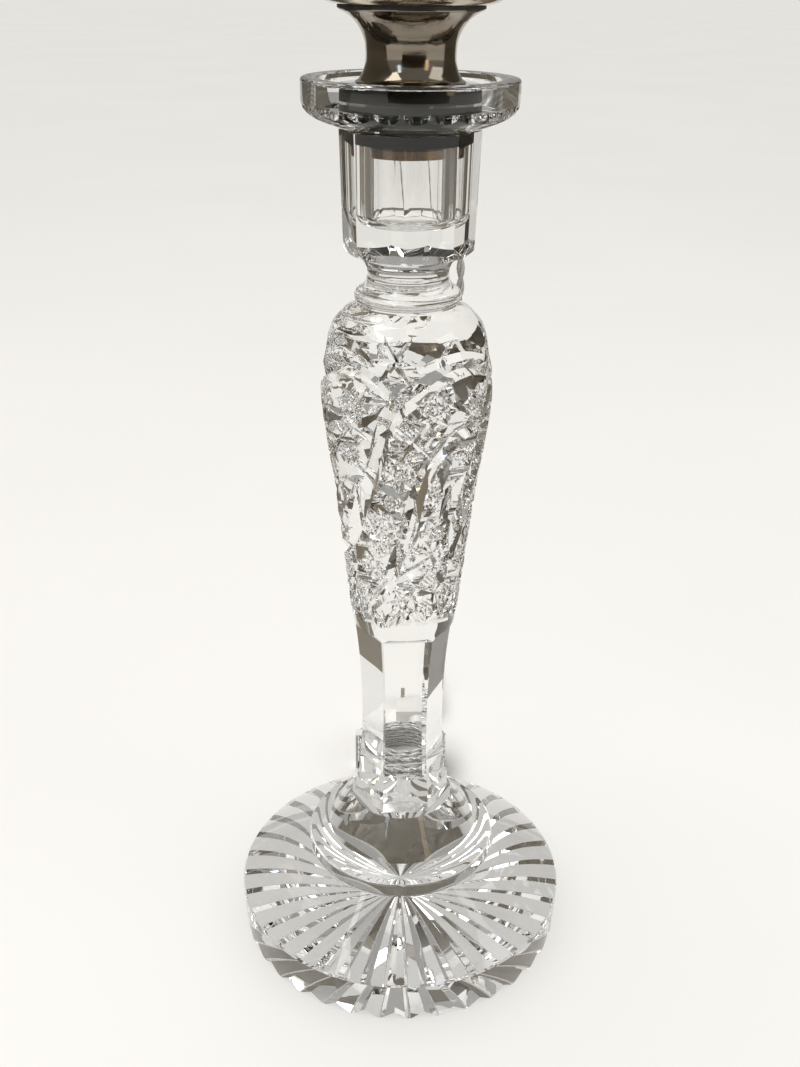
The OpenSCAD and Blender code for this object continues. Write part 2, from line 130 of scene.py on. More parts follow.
def outward(obj):
    """Turn the faces of a mesh that was made point by point outwards."""
    bm = bmesh.new()
    bm.from_mesh(obj.data)
    bmesh.ops.recalc_face_normals(bm, faces=bm.faces)
    bm.to_mesh(obj.data)
    bm.free()
    return obj


def use_modifier(obj, kind, **values):
    """Apply a modifier with the given values."""
    pick(obj)
    modifier = obj.modifiers.new(kind.title(), kind)
    for key, value in values.items():
        setattr(modifier, key, value)
    bpy.ops.object.modifier_apply(modifier=modifier.name)
    return obj


def smooth_by_angle(obj, degrees):
    """Shade smooth, except across edges sharper than an angle."""
    pick(obj)
    bpy.ops.object.shade_smooth_by_angle(angle=math.radians(degrees))
    return obj


def between(points, share):
    """The point a share of the way along a smooth curve through points."""
    spans = len(points) - 1
    i = min(int(share * spans), spans - 1)
    t = share * spans - i
    a, b = points[max(i - 1, 0)], points[i]
    c, d = points[i + 1], points[min(i + 2, spans)]
    return [
        0.5 * (2 * q + (r - p) * t + (2 * p - 5 * q + 4 * r - s) * t * t + (3 * q - p - 3 * r + s) * t ** 3)
        for p, q, r, s in zip(a, b, c, d)
    ]


def arc(centre_r, centre_z, radius, start, end, steps):
    """Points of an outline round a centre, angles in degrees from outwards to upwards."""
    return [
        (centre_r + radius * math.cos(math.radians(start + (end - start) * i / steps)),
         centre_z + radius * math.sin(math.radians(start + (end - start) * i / steps)))
        for i in range(steps + 1)
    ]


def turned(name, outline, steps):
    """A closed solid: an outline of (radius, height) points, from axis to axis, spun about Z."""
    obj = mesh_object(name, [(r, 0, z) for r, z in outline], [],
                      [(i, i + 1) for i in range(len(outline) - 1)])
    pick(obj)
    bpy.ops.object.mode_set(mode="EDIT")
    bpy.ops.mesh.select_all(action="SELECT")
    bpy.ops.mesh.spin(steps=steps, angle=2 * math.pi, center=(0, 0, 0), axis=(0, 0, 1))
    bpy.ops.mesh.select_all(action="SELECT")
    bpy.ops.mesh.remove_doubles(threshold=0.000002)
    bpy.ops.mesh.normals_make_consistent(inside=False)
    bpy.ops.object.mode_set(mode="OBJECT")
    return obj


# ---- Glass ----

# Greatest reach of the cut panels of the body, as (height, radius).
BODY_SIDE = [(106, 14.3), (109, 14.9), (113, 15.5), (118, 16.1), (124, 16.7), (131, 17.5), (138, 18.3),
             (145, 19.0), (152, 19.8), (159, 20.9), (166, 21.9), (172, 22.6), (178, 22.8), (183, 22.3),
             (187, 21.3), (191, 20.75), (194.6, 19.6), (197, 17.6), (198.8, 15.6), (199.6, 13.2)]


def body_radius(z):
    """Radius of the uncut body at a height."""
    for (z0, r0), (z1, r1) in zip(BODY_SIDE, BODY_SIDE[1:]):
        if z <= z1:
            return r0 + (r1 - r0) * max(0, z - z0) / (z1 - z0)
    return BODY_SIDE[-1][1]


def glass_outline():
    """Outline of the uncut blank, from the middle of the underside to the bottom of the candle hole."""
    foot = [(0, 0), (FOOT_R - 1.1, 0), (FOOT_R - 0.7, 0.3), (FOOT_R - 0.35, 7),
            (FOOT_R - 0.1, 13.1), (FOOT_R - 0.5, 13.7), (40, 20.3), (29.3, 26.9)]
    collar = arc(29.5, 27.6, 0.7, 240, 180, 3)[1:] + arc(28.0, 30.6, 0.8, 0, 70, 4) + \
        [(27.2, 31.6), (25, 32.6), (22.6, 34.2), (20.9, 37), (18.3, 40.8), (16.4, 43.8), (15.2, 45.6)]
    stem = [(14.3, STEM_Z + 0.2), (14.2, STEM_Z + 5.4), (14, STEM_Z + 8), (13.7, 75), (13.9, 90),
            (14.0, 100), (14.1, 104)]
    rows = 80
    low, high = BODY_SIDE[0][0], BODY_SIDE[-1][0]
    body = [(body_radius(low + (high - low) * i / rows), low + (high - low) * i / rows) for i in range(rows + 1)]
    bead = [(12.9, 199.9)] + arc(11.9, 201.9, 1.9, -60, 75, 8) + \
        [(11.7, 204.1), (10.8, 205.6), (10.4, 207.1), (10.5, 208.8), (11.1, 210.2), (12, 211.4)]
    cup = arc(14.1, 216.2, 3.6, -65, 0, 6)[1:] + [(17.75, 222), (17.8, 232), (17.85, 242.4)]
    flange = [(18.0, 242.9), (19.6, 243.5), (22.3, 244.5), (24.1, 245.4), (25.1, 246.3), (25.9, 247.3),
              (26.2, 248.2), (FLANGE_R, 248.9), (FLANGE_R, GLASS_TOP - 0.7)] + \
        arc(FLANGE_R - 0.7, GLASS_TOP - 0.7, 0.7, 20, 90, 3) + \
        [(22.6, GLASS_TOP), (21.9, GLASS_TOP - 0.3), (21.4, RECESS_Z + 0.2), (21.0, RECESS_Z), (12.0, RECESS_Z)]
    hole = [(HOLE_R + 0.3, RECESS_Z - 0.2), (HOLE_R, RECESS_Z - 0.7), (HOLE_R, 238), (HOLE_R, 226)] + \
        arc(HOLE_R - 3, 223, 3, 0, -90, 6) + [(0, 220)]
    return foot + collar + stem + body + bead + cup + flange + hole


class Cuts:
    """V cuts laid on the body, sorted into groups in which no two cuts touch."""

    def __init__(self):
        self.groups = {}

    def groove(self, group, route, width, depth, stations=9, taper=0.5, lean=0.0):
        """A V cut along a route of (azimuth, height) points, which runs out at both ends."""
        points, faces = self.groups.setdefault(group, ([], []))
        base = len(points)
        lift = 0.6
        rows = [between(route, i / (stations - 1)) for i in range(stations)]
        places = []
        for azimuth, z in rows:
            r = body_radius(z)
            slope = (body_radius(z + 1) - body_radius(z - 1)) / 2
            out = Vector((math.sin(math.radians(azimuth)), -math.cos(math.radians(azimuth)), 0))
            places.append((out * r + Vector((0, 0, z)), (out - Vector((0, 0, slope))).normalized()))
        for i, (place, normal) in enumerate(places):
            share = i / (stations - 1)
            size = max(0.03, min(1, math.sin(math.pi * share) ** taper))
            along = (places[min(i + 1, stations - 1)][0] - places[max(i - 1, 0)][0]).normalized()
            side = normal.cross(along).normalized()
            half, deep = width / 2 * size, depth * size
            grow = half * (1 + lift / max(deep, 0.1))
            points += [place - normal * deep + side * lean * half,
                       place + normal * lift + side * grow, place + normal * lift - side * grow]
        for i in range(stations - 1):
            a, b = base + 3 * i, base + 3 * i + 3
            for j in range(3):
                k = (j + 1) % 3
                faces.append((a + j, a + k, b + k, b + j))
        last = base + 3 * (stations - 1)
        faces.append((base, base + 2, base + 1))
        faces.append((last, last + 1, last + 2))

    def objects(self):
        """One cutter object for each group, faces outwards."""
        made = []
        for name, (points, faces) in self.groups.items():
            made.append(outward(mesh_object("cut_" + name, points, faces)))
        return made


# Curved splits of one quarter of the body, as (azimuth, height).
LONG_SPLIT = [(82, 180.6), (68, 184.8), (52, 187.2), (42, 187.6), (33, 187.3), (25, 186.3), (17, 184.9),
              (9, 183.3), (1.8, 181.4), (-4, 179.6), (-9, 177.2), (-13, 174.3), (-17, 170.5), (-20.5, 166),
              (-24, 161.6), (-28, 157.8), (-32, 154), (-40, 146.5), (-50, 139.4), (-62, 134.4), (-74, 131.8),
              (-88, 129.8), (-101, 127)]
MIDDLE_SPLIT = [(66, 168.9), (54, 170.6), (46, 171), (39, 170.4), (31, 168.4), (25.5, 166), (19.5, 163.4),
                (15.5, 160.6), (11.5, 156), (7.5, 151.3), (4, 147), (-1, 140.5), (-6, 134.3), (-12.4, 128.3),
                (-22, 122.6), (-34, 118), (-46, 114.6)]
SHORT_SPLIT = [(60, 158), (52, 156.6), (44, 154.4), (35, 151), (27, 147.4), (19, 143.6), (11, 139), (2, 133.6),
               (-7, 129)]


# Stars of one quarter: azimuth, height, radius, depth.
STARS = [(20, 178.4, 6.2, 1.05), (52, 177.4, 5.6, 1.0), (-3, 160.5, 6.0, 1.0), (-15, 143.4, 5.6, 0.95),
         (3, 119.0, 5.8, 1.1), (-42, 121.6, 4.6, 0.8), (-32, 131, 4.0, 0.7)]
# Fields of small diamonds: azimuth, height, width, height of the field.
HATCHES = [(52, 163.8, 12, 7), (2, 172, 8, 5), (29, 128.5, 8, 7), (60, 145, 9, 8), (-9, 151.5, 7, 5),
           (-24, 137, 6, 6), (20, 117, 6, 8), (44, 121, 6, 7)]
# Straight mitre cuts that cross the panels: from azimuth and height to azimuth and height.
MITRES = [(-13, 176, 22, 163), (-7, 163, 19, 177), (14, 141, 36, 131), (15, 131, 34, 141), (-38, 136, -20, 129),
          (40, 171, 64, 183), (42, 183, 62, 171), (24, 152, 46, 158), (-22, 150, 2, 138), (-10, 125, 16, 112),
          (14, 126, -8, 112), (30, 124, 46, 112), (-34, 126, -50, 114), (44, 152, 66, 141),
          (-20, 184, 4, 196), (2, 184, -18, 196), (-26, 190, 8, 190)]
# Fans: azimuth, height, radius, way they open and how far, in degrees.
FANS = [(10, 166.5, 6.0, 10, 90), (-14, 134.5, 5.4, 0, 100), (40, 141, 5.0, 200, 90), (24, 112.5, 8.0, 0, 80),
        (-22, 110, 7.5, 0, 70)]


def star(cuts, azimuth, z, radius, depth):
    """An eight-point star: eight chords and four short cuts through its middle."""
    r = body_radius(z)
    spot = [(azimuth + math.degrees(radius * math.sin(math.radians(45 * k + 10)) / r),
             z + radius * math.cos(math.radians(45 * k + 10))) for k in range(8)]
    for k in range(8):
        cuts.groove(f"chord{k % 4}", [spot[k], spot[(k + 3) % 8]], radius * 0.27, depth, 5, 0.6)
    for k in range(4):
        a = math.radians(45 * k + 32)
        d_az, d_z = math.degrees(0.36 * radius * math.sin(a) / r), 0.36 * radius * math.cos(a)
        cuts.groove(f"middle{k}", [(azimuth - d_az, z - d_z), (azimuth + d_az, z + d_z)], radius * 0.17,
                    depth * 0.7, 4, 0.5)


def hatch(cuts, azimuth, z, wide, tall, pitch, field, turn=45):
    """A field of small diamonds, cut by two sets of parallel lines inside an oval."""
    r = body_radius(z)
    for name, angle in ((f"hatch_a{field}", turn), (f"hatch_b{field}", turn + 90)):
        c, s = math.cos(math.radians(angle)), math.sin(math.radians(angle))
        reach = math.hypot(wide * s, tall * c) / 2
        count = int(reach / pitch)
        for i in range(-count, count + 1):
            off = i * pitch
            # Ends of the line where it leaves the oval.
            share = 1 - (off / (reach + 0.4 * pitch)) ** 2
            if share <= 0.05:
                continue
            half = (wide * tall / (4 * reach)) * math.sqrt(share)
            skew = off * ((wide ** 2 - tall ** 2) * s * c) / (4 * reach ** 2)
            ends = []
            for sign in (-1, 1):
                along = sign * half - skew
                x, y = c * along - s * off, s * along + c * off
                ends.append((azimuth + math.degrees(x / r), z + y))
            cuts.groove(name, ends, pitch * 1.02, pitch * 0.42, 4, 0.3)


def fan(cuts, azimuth, z, radius, turn, spread, count, depth):
    """Cuts that spread from one point."""
    r = body_radius(z)
    for k in range(count):
        a = math.radians(turn + spread * (k / (count - 1) - 0.5))
        near, far = 0.12 * radius, radius
        route = [(azimuth + math.degrees(d * math.sin(a) / r), z + d * math.cos(a)) for d in (near, far)]
        cuts.groove(f"fan{k}", route, radius * 0.2, depth, 5, 0.6)


def body_cuts(deepest):
    """Splits, polished hollows and the fine pattern, the same in each quarter of the body."""
    cuts = Cuts()
    for quarter in range(4):
        turn = 90 * quarter
        for name, route, width, depth, lean in (
            ("long", LONG_SPLIT, 6.2, deepest, 0.3), ("middle_split", MIDDLE_SPLIT, 5.6, 0.9 * deepest, 0.25),
            ("short", SHORT_SPLIT, 4.4, 0.7 * deepest, 0.0),
        ):
            cuts.groove(f"{name}{quarter % 2}", [(a + turn, z) for a, z in route], width, depth,
                        3 * len(route), 0.3, lean)
        # Polished hollows beside the splits.
        for i, (route, width, depth) in enumerate((
            ([(-17, 176), (-24, 170), (-29, 163), (-35, 156)], 6.6, 1.7),
            ([(33, 166), (27, 161), (20, 155), (13, 147)], 6.4, 1.6),
            ([(36, 149), (30, 144.5), (25, 139), (22, 134)], 5.4, 1.3),
            ([(-48, 136), (-53, 130), (-57, 124), (-60, 118)], 4.6, 1.1),
            ([(4, 187.5), (18, 190.2), (34, 191.2), (50, 191), (68, 188.6)], 8.5, 1.7),
        )):
            cuts.groove(f"hollow{i % 2}", [(a + turn, z) for a, z in route], width, depth, 13, 1.0)
        for azimuth, z, radius, depth in STARS:
            star(cuts, azimuth + turn, z, radius, depth)
        for i, (azimuth, z, wide, tall) in enumerate(HATCHES):
            hatch(cuts, azimuth + turn, z, wide, tall, 1.12, i % 4)
        for i, (a, b, c, d) in enumerate(MITRES):
            route = [(a + turn, b), ((a + c) / 2 + turn, (b + d) / 2), (c + turn, d)]
            cuts.groove(f"mitre{i % 2}", route, 1.8, 0.9, 7, 0.6)
        for azimuth, z, radius, way, spread_of in FANS:
            fan(cuts, azimuth + turn, z, radius, way, spread_of, 5, 0.65)
    return cuts


def wedge_ring(name, side, reach, half_wide, count, turn):
    """Prisms round the axis whose inner face follows side, a list of (distance from the axis, height)."""
    made = []
    for i in range(count):
        outline = list(side) + [(reach, side[-1][1]), (reach, side[0][1])]
        n = len(outline)
        points = [(x, y, z) for y in (-half_wide, half_wide) for x, z in outline]
        faces = [tuple(range(n))[::-1], tuple(range(n, 2 * n))]
        faces += [(k, (k + 1) % n, n + (k + 1) % n, n + k) for k in range(n)]
        obj = mesh_object(f"{name}_{i}", points, faces)
        obj.data.transform(Matrix.Rotation(math.radians(-90 + turn + 360 * i / count), 4, "Z"))
        made.append(outward(obj))
    return made


def together(parts):
    """One object out of parts that don't touch each other."""
    pick(parts[0])
    for part in parts:
        part.select_set(True)
    bpy.ops.object.join()
    return parts[0]


def cut_away(target, cutters):
    """Take each cutter out of target, then drop it."""
    for cutter in cutters:
        use_modifier(target, "BOOLEAN", operation="DIFFERENCE", solver="MANIFOLD", object=cutter)
        drop(cutter)


def stem_cutters():
    """Six hollow-ground flats on the stem and its plinth."""
    side = [(12.55, STEM_Z - 0.6), (12.55, STEM_Z + 5.2), (11.55, STEM_Z + 6.4)]
    waist_z, waist = 76, 10.5
    side += [(waist + (z - waist_z) ** 2 / 520, z) for z in range(57, 106, 4)]
    side += [(12.6, BODY_Z - 0.2), (13.4, BODY_Z + 0.8), (15.4, BODY_Z + 1.4)]
    return wedge_ring("flat", side, 24, 13, 6, 6)


def cup_cutters():
    """Eight flats on the candle cup."""
    side = [(15.2, 211.9), (15.45, 218), (16.1, 242.3), (17.0, 242.75)]
    return wedge_ring("side", side, 24, 12, 8, 18.5)


def scallop_cutters():
    """Half-moons in the lower edge of the flange: balls with their tops cut off flat."""
    made = []
    count, ball_r, top_z, turn = 24, 3.5, 248.1, -4.1
    for i in range(count):
        deselect()
        bpy.ops.mesh.primitive_uv_sphere_add(segments=28, ring_count=14, radius=ball_r * MM,
                                             location=((FLANGE_R + 1.35) * MM, 0, 247.6 * MM))
        ball = bpy.context.object
        bpy.ops.object.transform_apply(location=True, rotation=True, scale=True)
        bpy.ops.object.mode_set(mode="EDIT")
        bpy.ops.mesh.select_all(action="SELECT")
        bpy.ops.mesh.bisect(plane_co=(0, 0, top_z * MM), plane_no=(0, 0, 1), use_fill=True, clear_outer=True)
        bpy.ops.object.mode_set(mode="OBJECT")
        ball.data.transform(Matrix.Rotation(math.radians(-90 + turn + 360 / count * (i + 0.5)), 4, "Z"))
        made.append(ball)
    return made


def ray_cutters():
    """Rays cut in the underside: three-sided bars that deepen from the middle of the star to the rim."""
    made = []
    count, rim_depth, middle_r, land, turn = 36, 2.8, 1.2, 0.05, 8.7
    for i in range(count):
        half = math.pi * FOOT_R / count * (1 - land)
        far = FOOT_R + 4
        deep = rim_depth * (far - middle_r) / (FOOT_R - middle_r)
        wide = half * (far - middle_r) / (FOOT_R - middle_r)
        under = 3.0
        broad = wide * (1 + under / deep)
        near = 0.05 + 0.02 * broad
        points = [(middle_r, 0, 0.02), (middle_r, -near, -under), (middle_r, near, -under),
                  (far, 0, deep), (far, -broad, -under), (far, broad, -under)]
        faces = [(0, 1, 2), (3, 5, 4), (0, 3, 4, 1), (0, 2, 5, 3), (1, 4, 5, 2)]
        obj = mesh_object(f"ray_{i}", points, faces)
        obj.data.transform(Matrix.Rotation(math.radians(-90 + turn + 360 / count * i), 4, "Z"))
        made.append(outward(obj))
    return made


# ---- Finishes ----

def new_material(name):
    """A new material and its main shader."""
    material = bpy.data.materials.new(name)
    material.use_nodes = True
    return material, material.node_tree.nodes["Principled BSDF"]


def noise(tree, scale, detail=3.0, stretch=(1, 1, 1)):
    """Noise on Object coordinates, its scale in waves for each metre."""
    place = tree.nodes.new("ShaderNodeTexCoord")
    mapping = tree.nodes.new("ShaderNodeMapping")
    mapping.inputs["Scale"].default_value = stretch
    texture = tree.nodes.new("ShaderNodeTexNoise")
    texture.inputs["Scale"].default_value = scale
    texture.inputs["Detail"].default_value = detail
    tree.links.new(place.outputs["Object"], mapping.inputs["Vector"])
    tree.links.new(mapping.outputs["Vector"], texture.inputs["Vector"])
    return texture.outputs["Fac"]


def spread(tree, value, low, high, start=0.35, end=0.65):
    """value, from start to end, carried to low to high."""
    node = tree.nodes.new("ShaderNodeMapRange")
    node.inputs["From Min"].default_value = start
    node.inputs["From Max"].default_value = end
    node.inputs["To Min"].default_value = low
    node.inputs["To Max"].default_value = high
    tree.links.new(value, node.inputs["Value"])
    return node.outputs["Result"]


def blend_colour(tree, value, first, second, start=0.4, end=0.6):
    """Colours from first to second as value goes from start to end."""
    ramp = tree.nodes.new("ShaderNodeValToRGB")
    ramp.color_ramp.elements[0].position = start
    ramp.color_ramp.elements[0].color = (*first, 1)
    ramp.color_ramp.elements[1].position = end
    ramp.color_ramp.elements[1].color = (*second, 1)
    tree.links.new(value, ramp.inputs["Fac"])
    return ramp.outputs["Color"]


def bump(tree, shader, height, strength, distance):
    """Raise the surface by a height map."""
    node = tree.nodes.new("ShaderNodeBump")
    node.inputs["Strength"].default_value = strength
    node.inputs["Distance"].default_value = distance
    tree.links.new(height, node.inputs["Height"])
    tree.links.new(node.outputs["Normal"], shader.inputs["Normal"])


def finish_of(name, first, second, scale, rough, metallic=0.0, relief=0.0, relief_scale=900, stretch=(1, 1, 1),
              coat=0.0, shine=0.5):
    """A worn solid finish: two tones, a spread of roughness and a fine relief."""
    material, shader = new_material(name)
    tree = material.node_tree
    shader.inputs["Metallic"].default_value = metallic
    shader.inputs["Specular IOR Level"].default_value = shine
    shader.inputs["Coat Weight"].default_value = coat
    tone = noise(tree, scale, 4.0, stretch)
    tree.links.new(blend_colour(tree, tone, first, second), shader.inputs["Base Color"])
    wear = noise(tree, scale * 2.7, 5.0, stretch)
    tree.links.new(spread(tree, wear, *rough), shader.inputs["Roughness"])
    if relief:
        bump(tree, shader, noise(tree, relief_scale, 2.0, stretch), relief, 0.0002)
    return material


def cut_glass_finish(glass):
    """Clear lead glass, hand polished: a faint warm tint, a trace of wave and fine polishing haze."""
    material, shader = new_material("cut_glass")
    tree = material.node_tree
    shader.inputs["Base Color"].default_value = (*glass.tint, 1)
    shader.inputs["Transmission Weight"].default_value = 1.0
    shader.inputs["IOR"].default_value = glass.index
    haze = noise(tree, 60, 3.0)
    tree.links.new(spread(tree, haze, 0.0, glass.haze), shader.inputs["Roughness"])
    bump(tree, shader, noise(tree, 90, 1.0), 0.06, 0.0004)
    return material


def clear_sheath_finish(cord):
    """Clear sheath over tinned wire: bright strands show through as a fine lay."""
    material, shader = new_material("cord_sheath")
    tree = material.node_tree
    place = tree.nodes.new("ShaderNodeUVMap")
    place.uv_map = "lay"
    mapping = tree.nodes.new("ShaderNodeMapping")
    mapping.inputs["Scale"].default_value = (6, 1, 1)
    wave = tree.nodes.new("ShaderNodeTexWave")
    wave.inputs["Scale"].default_value = 1.4
    wave.inputs["Distortion"].default_value = 0.6
    tree.links.new(place.outputs["UV"], mapping.inputs["Vector"])
    tree.links.new(mapping.outputs["Vector"], wave.inputs["Vector"])
    strands = blend_colour(tree, wave.outputs["Fac"], tuple(0.62 * c for c in cord.colour), cord.colour, 0.2, 0.8)
    tree.links.new(strands, shader.inputs["Base Color"])
    shader.inputs["Metallic"].default_value = 0.45
    shader.inputs["Coat Weight"].default_value = 0.8
    shader.inputs["Coat Roughness"].default_value = 0.08
    tree.links.new(spread(tree, noise(tree, 300), 0.22, 0.36), shader.inputs["Roughness"])
    return material


def paint(obj, material):
    """Give an object one material."""
    obj.data.materials.clear()
    obj.data.materials.append(material)
    return obj


# ---- Settings ----

class GlassSettings(PropertyGroup):
    """The cut glass"""
    tint: FloatVectorProperty(name="Tint", description="Colour that the glass lends to light",
                              default=(0.955, 0.955, 0.945), min=0, max=1, subtype="COLOR")
    index: FloatProperty(name="Index", description="Index of refraction of lead glass", default=1.545, min=1.4,
                         max=1.7)
    haze: FloatProperty(name="Haze", description="Roughness where the polish is dullest", default=0.02, min=0,
                        max=0.2)
    steps: IntProperty(name="Steps", description="Facets round the turned blank", default=160, min=96, max=240)
    split_depth: FloatProperty(name="Split depth", description="Depth of the long curved splits", default=2.9 * MM,
                               min=0.5 * MM, max=3.2 * MM, unit="LENGTH", precision=4)


class MetalSettings(PropertyGroup):
    """The plated and brass parts"""
    plate: FloatVectorProperty(name="Plate", description="Colour of the bright plate", default=(0.66, 0.57, 0.45),
                               min=0, max=1, subtype="COLOR")
    brass: FloatVectorProperty(name="Brass", description="Colour of the bare brass", default=(0.20, 0.12, 0.05),
                               min=0, max=1, subtype="COLOR")
    wall: FloatProperty(name="Wall", description="Wall of the spun parts", default=0.9 * MM, min=0.5 * MM,
                        max=1.5 * MM, unit="LENGTH", precision=4)


class CordSettings(PropertyGroup):
    """The cord"""
    diameter: FloatProperty(name="Width", description="Width of the cord", default=2.4 * MM, min=2 * MM, max=4 * MM,
                            unit="LENGTH", precision=4)
    colour: FloatVectorProperty(name="Colour", description="Colour of the tinned wire", default=(0.80, 0.79, 0.75),
                                min=0, max=1, subtype="COLOR")


class StageSettings(PropertyGroup):
    """The floor and the light"""
    floor: FloatVectorProperty(name="Floor", description="Colour of the floor", default=(0.88, 0.865, 0.835),
                               min=0, max=1, subtype="COLOR")
    power: FloatProperty(name="Power", description="Power of the main light", default=4, min=0, max=200, unit="POWER")
    sky: FloatProperty(name="Sky", description="Strength of the even light from above", default=1.95, min=0, max=10)
    air: FloatProperty(name="Air", description="Strength of the light from all round", default=0.34, min=0, max=2)


def settings(name):
    """One group of the scene's settings."""
    return getattr(bpy.context.scene, name)


# ---- Pieces ----

class CANDLE_OT_cut_glass(Operator):
    """Turn the blank, then cut its facets, scallops, rays and the pattern on the body"""
    bl_idname = "candle.cut_glass"
    bl_label = "Cut glass"

    def execute(self, context):
        glass = settings("glass")
        obj = turned("cut_glass", glass_outline(), glass.steps)
        flats, sides, rays = stem_cutters(), cup_cutters(), ray_cutters()
        cut_away(obj, [together(flats[0::2]), together(flats[1::2]), together(sides[0::2]), together(sides[1::2]),
                       together(scallop_cutters()), together(rays[0::2]), together(rays[1::2])])
        cut_away(obj, body_cuts(glass.split_depth / MM).objects())
        smooth_by_angle(obj, 22)
        paint(obj, cut_glass_finish(glass))
        obj.visible_shadow = False
        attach(obj, "root")
        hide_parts("glass_foot", "glass_stem", "glass_body", "glass_cup")
        return {"FINISHED"}


class CANDLE_OT_bung(Operator):
    """Rubber bung in the candle hole, which the brass plate squeezes"""
    bl_idname = "candle.bung"
    bl_label = "Bung"

    def execute(self, context):
        low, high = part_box("rubber_bung")
        z0, z1 = low.z / MM, high.z / MM
        tight = HOLE_R + SQUEEZE
        outline = [(TUBE_R, z0), (tight - 0.6, z0), (tight - 0.15, z0 + 0.2), (tight, z0 + 0.7)]
        rings, lowest, pitch = 3, 3.4, 3.6
        for k in range(rings):
            ring = z0 + lowest + pitch * k
            outline += [(tight, ring - 0.3), (tight - 0.12, ring), (tight, ring + 0.3)]
        outline += [(tight, z1 - 0.2), (tight - 0.3, z1), (TUBE_R, z1), (TUBE_R, z0)]
        bung = ring_of("bung", outline, 96)
        rubber = finish_of("bung_rubber", (0.010, 0.009, 0.006), (0.022, 0.020, 0.013), 160, (0.5, 0.7), relief=0.15,
                           shine=0.1)
        # The bung's colour greys towards its top.
        tree = rubber.node_tree
        place = tree.nodes.new("ShaderNodeTexCoord")
        parts = tree.nodes.new("ShaderNodeSeparateXYZ")
        tree.links.new(place.outputs["Object"], parts.inputs["Vector"])
        height = spread(tree, parts.outputs["Z"], 0, 1, low.z + 0.35 * (high.z - low.z), high.z)
        tree.links.new(blend_colour(tree, height, (0.012, 0.011, 0.007), (0.20, 0.20, 0.165), 0.1, 0.8),
                       tree.nodes["Principled BSDF"].inputs["Base Color"])
        paint(bung, rubber)
        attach(bung, "fitting")
        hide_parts("rubber_bung")
        return {"FINISHED"}


class CANDLE_OT_fitting(Operator):
    """Spun neck, rubber ring, pan and the small parts that clamp them"""
    bl_idname = "candle.fitting"
    bl_label = "Plated fitting"

    def execute(self, context):
        metal = settings("metal")
        # Painted shade: the neck gets a darkened copy of the plate, 0.46 and 0.36 of its colour, standing in for the
        # dark room that the neck mirrors. The pan and the small parts keep the full plate.
        light, dark, painted_shade_tone, painted_deep_shade_tone = (tuple(share * c for c in metal.plate) for share in (1, 0.86, 0.46, 0.36))
        plated = finish_of("plated", light, dark, 45, (0.08, 0.2), 1.0, relief=0.04, relief_scale=350)
        shaded_plate = finish_of("plate_painted_shade", painted_shade_tone, painted_deep_shade_tone, 45, (0.06, 0.16), 1.0, relief=0.04, relief_scale=350,
                           stretch=(1, 1, 6))
        brass = finish_of("brass", metal.brass, tuple(0.7 * c for c in metal.brass), 120, (0.22, 0.42), 1.0,
                          relief=0.08)
        black = finish_of("black_rubber", (0.012, 0.012, 0.012), (0.03, 0.03, 0.028), 200, (0.45, 0.65), relief=0.2)
        lead = finish_of("lead_sheath", (0.72, 0.69, 0.6), (0.62, 0.59, 0.5), 150, (0.3, 0.45), relief=0.05)
        neck = ring_of("spun_neck", neck_outline(metal.wall / MM), 128)
        paint(neck, shaded_plate)
        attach(neck, "fitting")
        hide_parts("neck")
        pan = ring_of("spun_pan", pan_outline(metal.wall / MM), 128)
        paint(pan, plated)
        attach(pan, "fitting")
        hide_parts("pan")
        for node in ("pan_washer", "holder_cap", "holder_shell"):
            paint(NODES[node], plated)
        for node in ("clamp_plate", "threaded_tube", "locknut", "cap_set_screw", "centre_contact", "terminal_screws"):
            paint(NODES[node], brass)
        for node in ("neck_gasket", "cord_bushing"):
            paint(NODES[node], black)
        paint(NODES["lead_wires"], lead)
        return {"FINISHED"}


class CANDLE_OT_lampholder(Operator):
    """Lampholder over the pan: lining, insert and the rolled screw shell"""
    bl_idname = "candle.lampholder"
    bl_label = "Lampholder"

    def execute(self, context):
        paint(NODES["insulating_liner"], finish_of("liner_board", (0.5, 0.36, 0.2), (0.42, 0.29, 0.16), 240,
                                                   (0.6, 0.8), relief=0.3))
        paint(NODES["holder_insert"], finish_of("insert_moulding", (0.78, 0.72, 0.58), (0.72, 0.65, 0.5), 60,
                                                (0.2, 0.32), relief=0.03, coat=0.2))
        low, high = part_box("screw_shell")
        sheet, pitch, depth = 0.35, 3.6, 0.32
        bore_r = high.x / MM - sheet - 0.05
        z0, z1 = low.z / MM, high.z / MM
        inner = []
        rows = 66
        for i in range(rows + 1):
            z = z0 + (z1 - z0) * i / rows
            inner.append((bore_r - 0.05 - depth * 0.5 * (1 - math.cos(2 * math.pi * (z - z0) / pitch)), z))
        outer = [(r + sheet, z) for r, z in reversed(inner)]
        shell = ring_of("screw_shell_rolled", inner + outer + [inner[0]], 96)
        paint(shell, finish_of("screw_metal", (0.78, 0.78, 0.77), (0.66, 0.66, 0.65), 90, (0.2, 0.35), 1.0,
                               relief=0.05))
        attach(shell, "fitting")
        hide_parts("screw_shell")
        return {"FINISHED"}


class CANDLE_OT_turn_key(Operator):
    """Moulded key that turns the switch"""
    bl_idname = "candle.turn_key"
    bl_label = "Turn key"

    def execute(self, context):
        paint(NODES["turn_key"], finish_of("key_moulding", (0.02, 0.016, 0.013), (0.035, 0.028, 0.022), 130,
                                           (0.15, 0.28), relief=0.03, coat=0.3))
        return {"FINISHED"}


